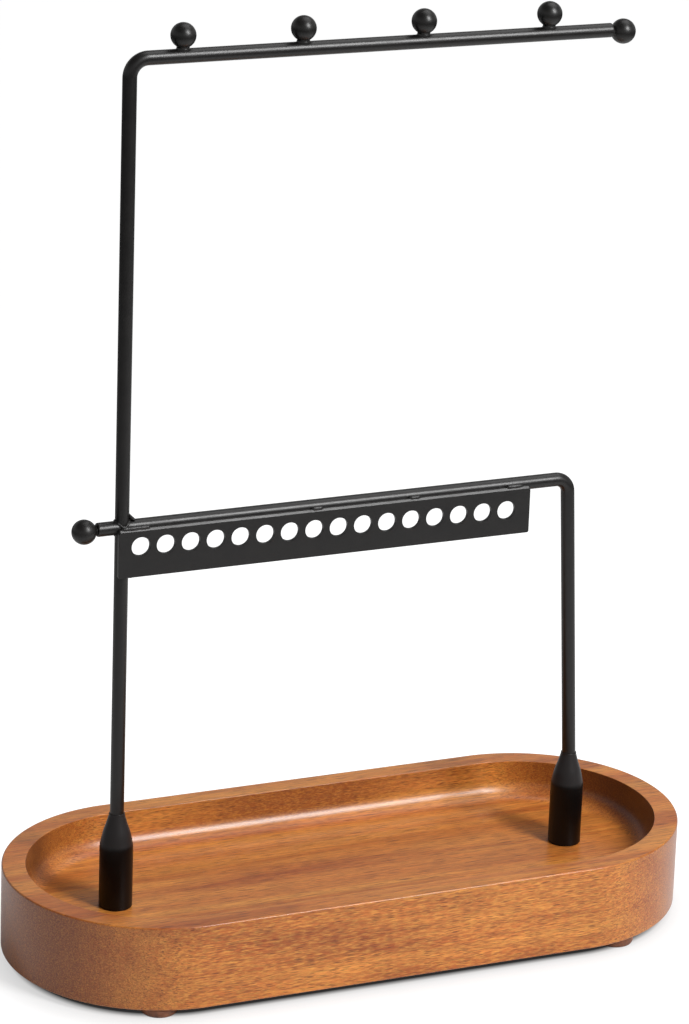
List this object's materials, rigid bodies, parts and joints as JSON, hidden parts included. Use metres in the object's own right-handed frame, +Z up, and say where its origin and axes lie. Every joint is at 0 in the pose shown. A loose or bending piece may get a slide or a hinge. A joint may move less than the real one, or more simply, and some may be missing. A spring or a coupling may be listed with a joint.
{
  "type": "jewelry stand with tray",
  "caption": "Black bent-rod jewelry stand with a knobbed top bar and a punched earring strip, standing in an oval wooden ring tray.",
  "frame": {"origin": "on the table under the middle of the tray, level with the bottoms of the feet", "axes": "+X along the tray towards the end with the leaning leg and the free end of the top bar, +Y to the back, away from the earring strip's face, +Z up"},
  "size_m": [0.185, 0.0794, 0.2461],
  "materials": {
    "tray_wood": "clear satin lacquer",
    "rod_coat": "satin black powder coat on steel rod",
    "knob_coat": "satin black powder coat on steel ball",
    "strip_coat": "satin black powder coat on steel strip",
    "ferrule_black": "matte black",
    "foot_rubber": "brown, slightly see-through, soft",
    "screw_steel": "bright zinc"
  },
  "bodies": {
    "base": {"tray": "tray_wood", "foot_front_left": "foot_rubber", "foot_front_right": "foot_rubber", "foot_back_left": "foot_rubber", "foot_back_right": "foot_rubber", "ferrule_left": "ferrule_black", "ferrule_right": "ferrule_black", "base_screw_left": "screw_steel", "base_screw_right": "screw_steel"},
    "frame": {"cross_rod": "rod_coat", "left_leg": "rod_coat", "hanger_rod": "rod_coat", "top_knob_1": "knob_coat", "top_knob_2": "knob_coat", "top_knob_3": "knob_coat", "top_knob_4": "knob_coat", "bar_end_knob": "knob_coat", "side_knob": "knob_coat", "earring_strip": "strip_coat", "joint_welds": "rod_coat", "strip_tacks": "rod_coat"}
  },
  "joints": [
    {"name": "frame_lift_out", "type": "slide", "parent": "base", "child": "frame", "axis": [0, 0, 1], "range_m": [0, 0.03]}
  ]
}
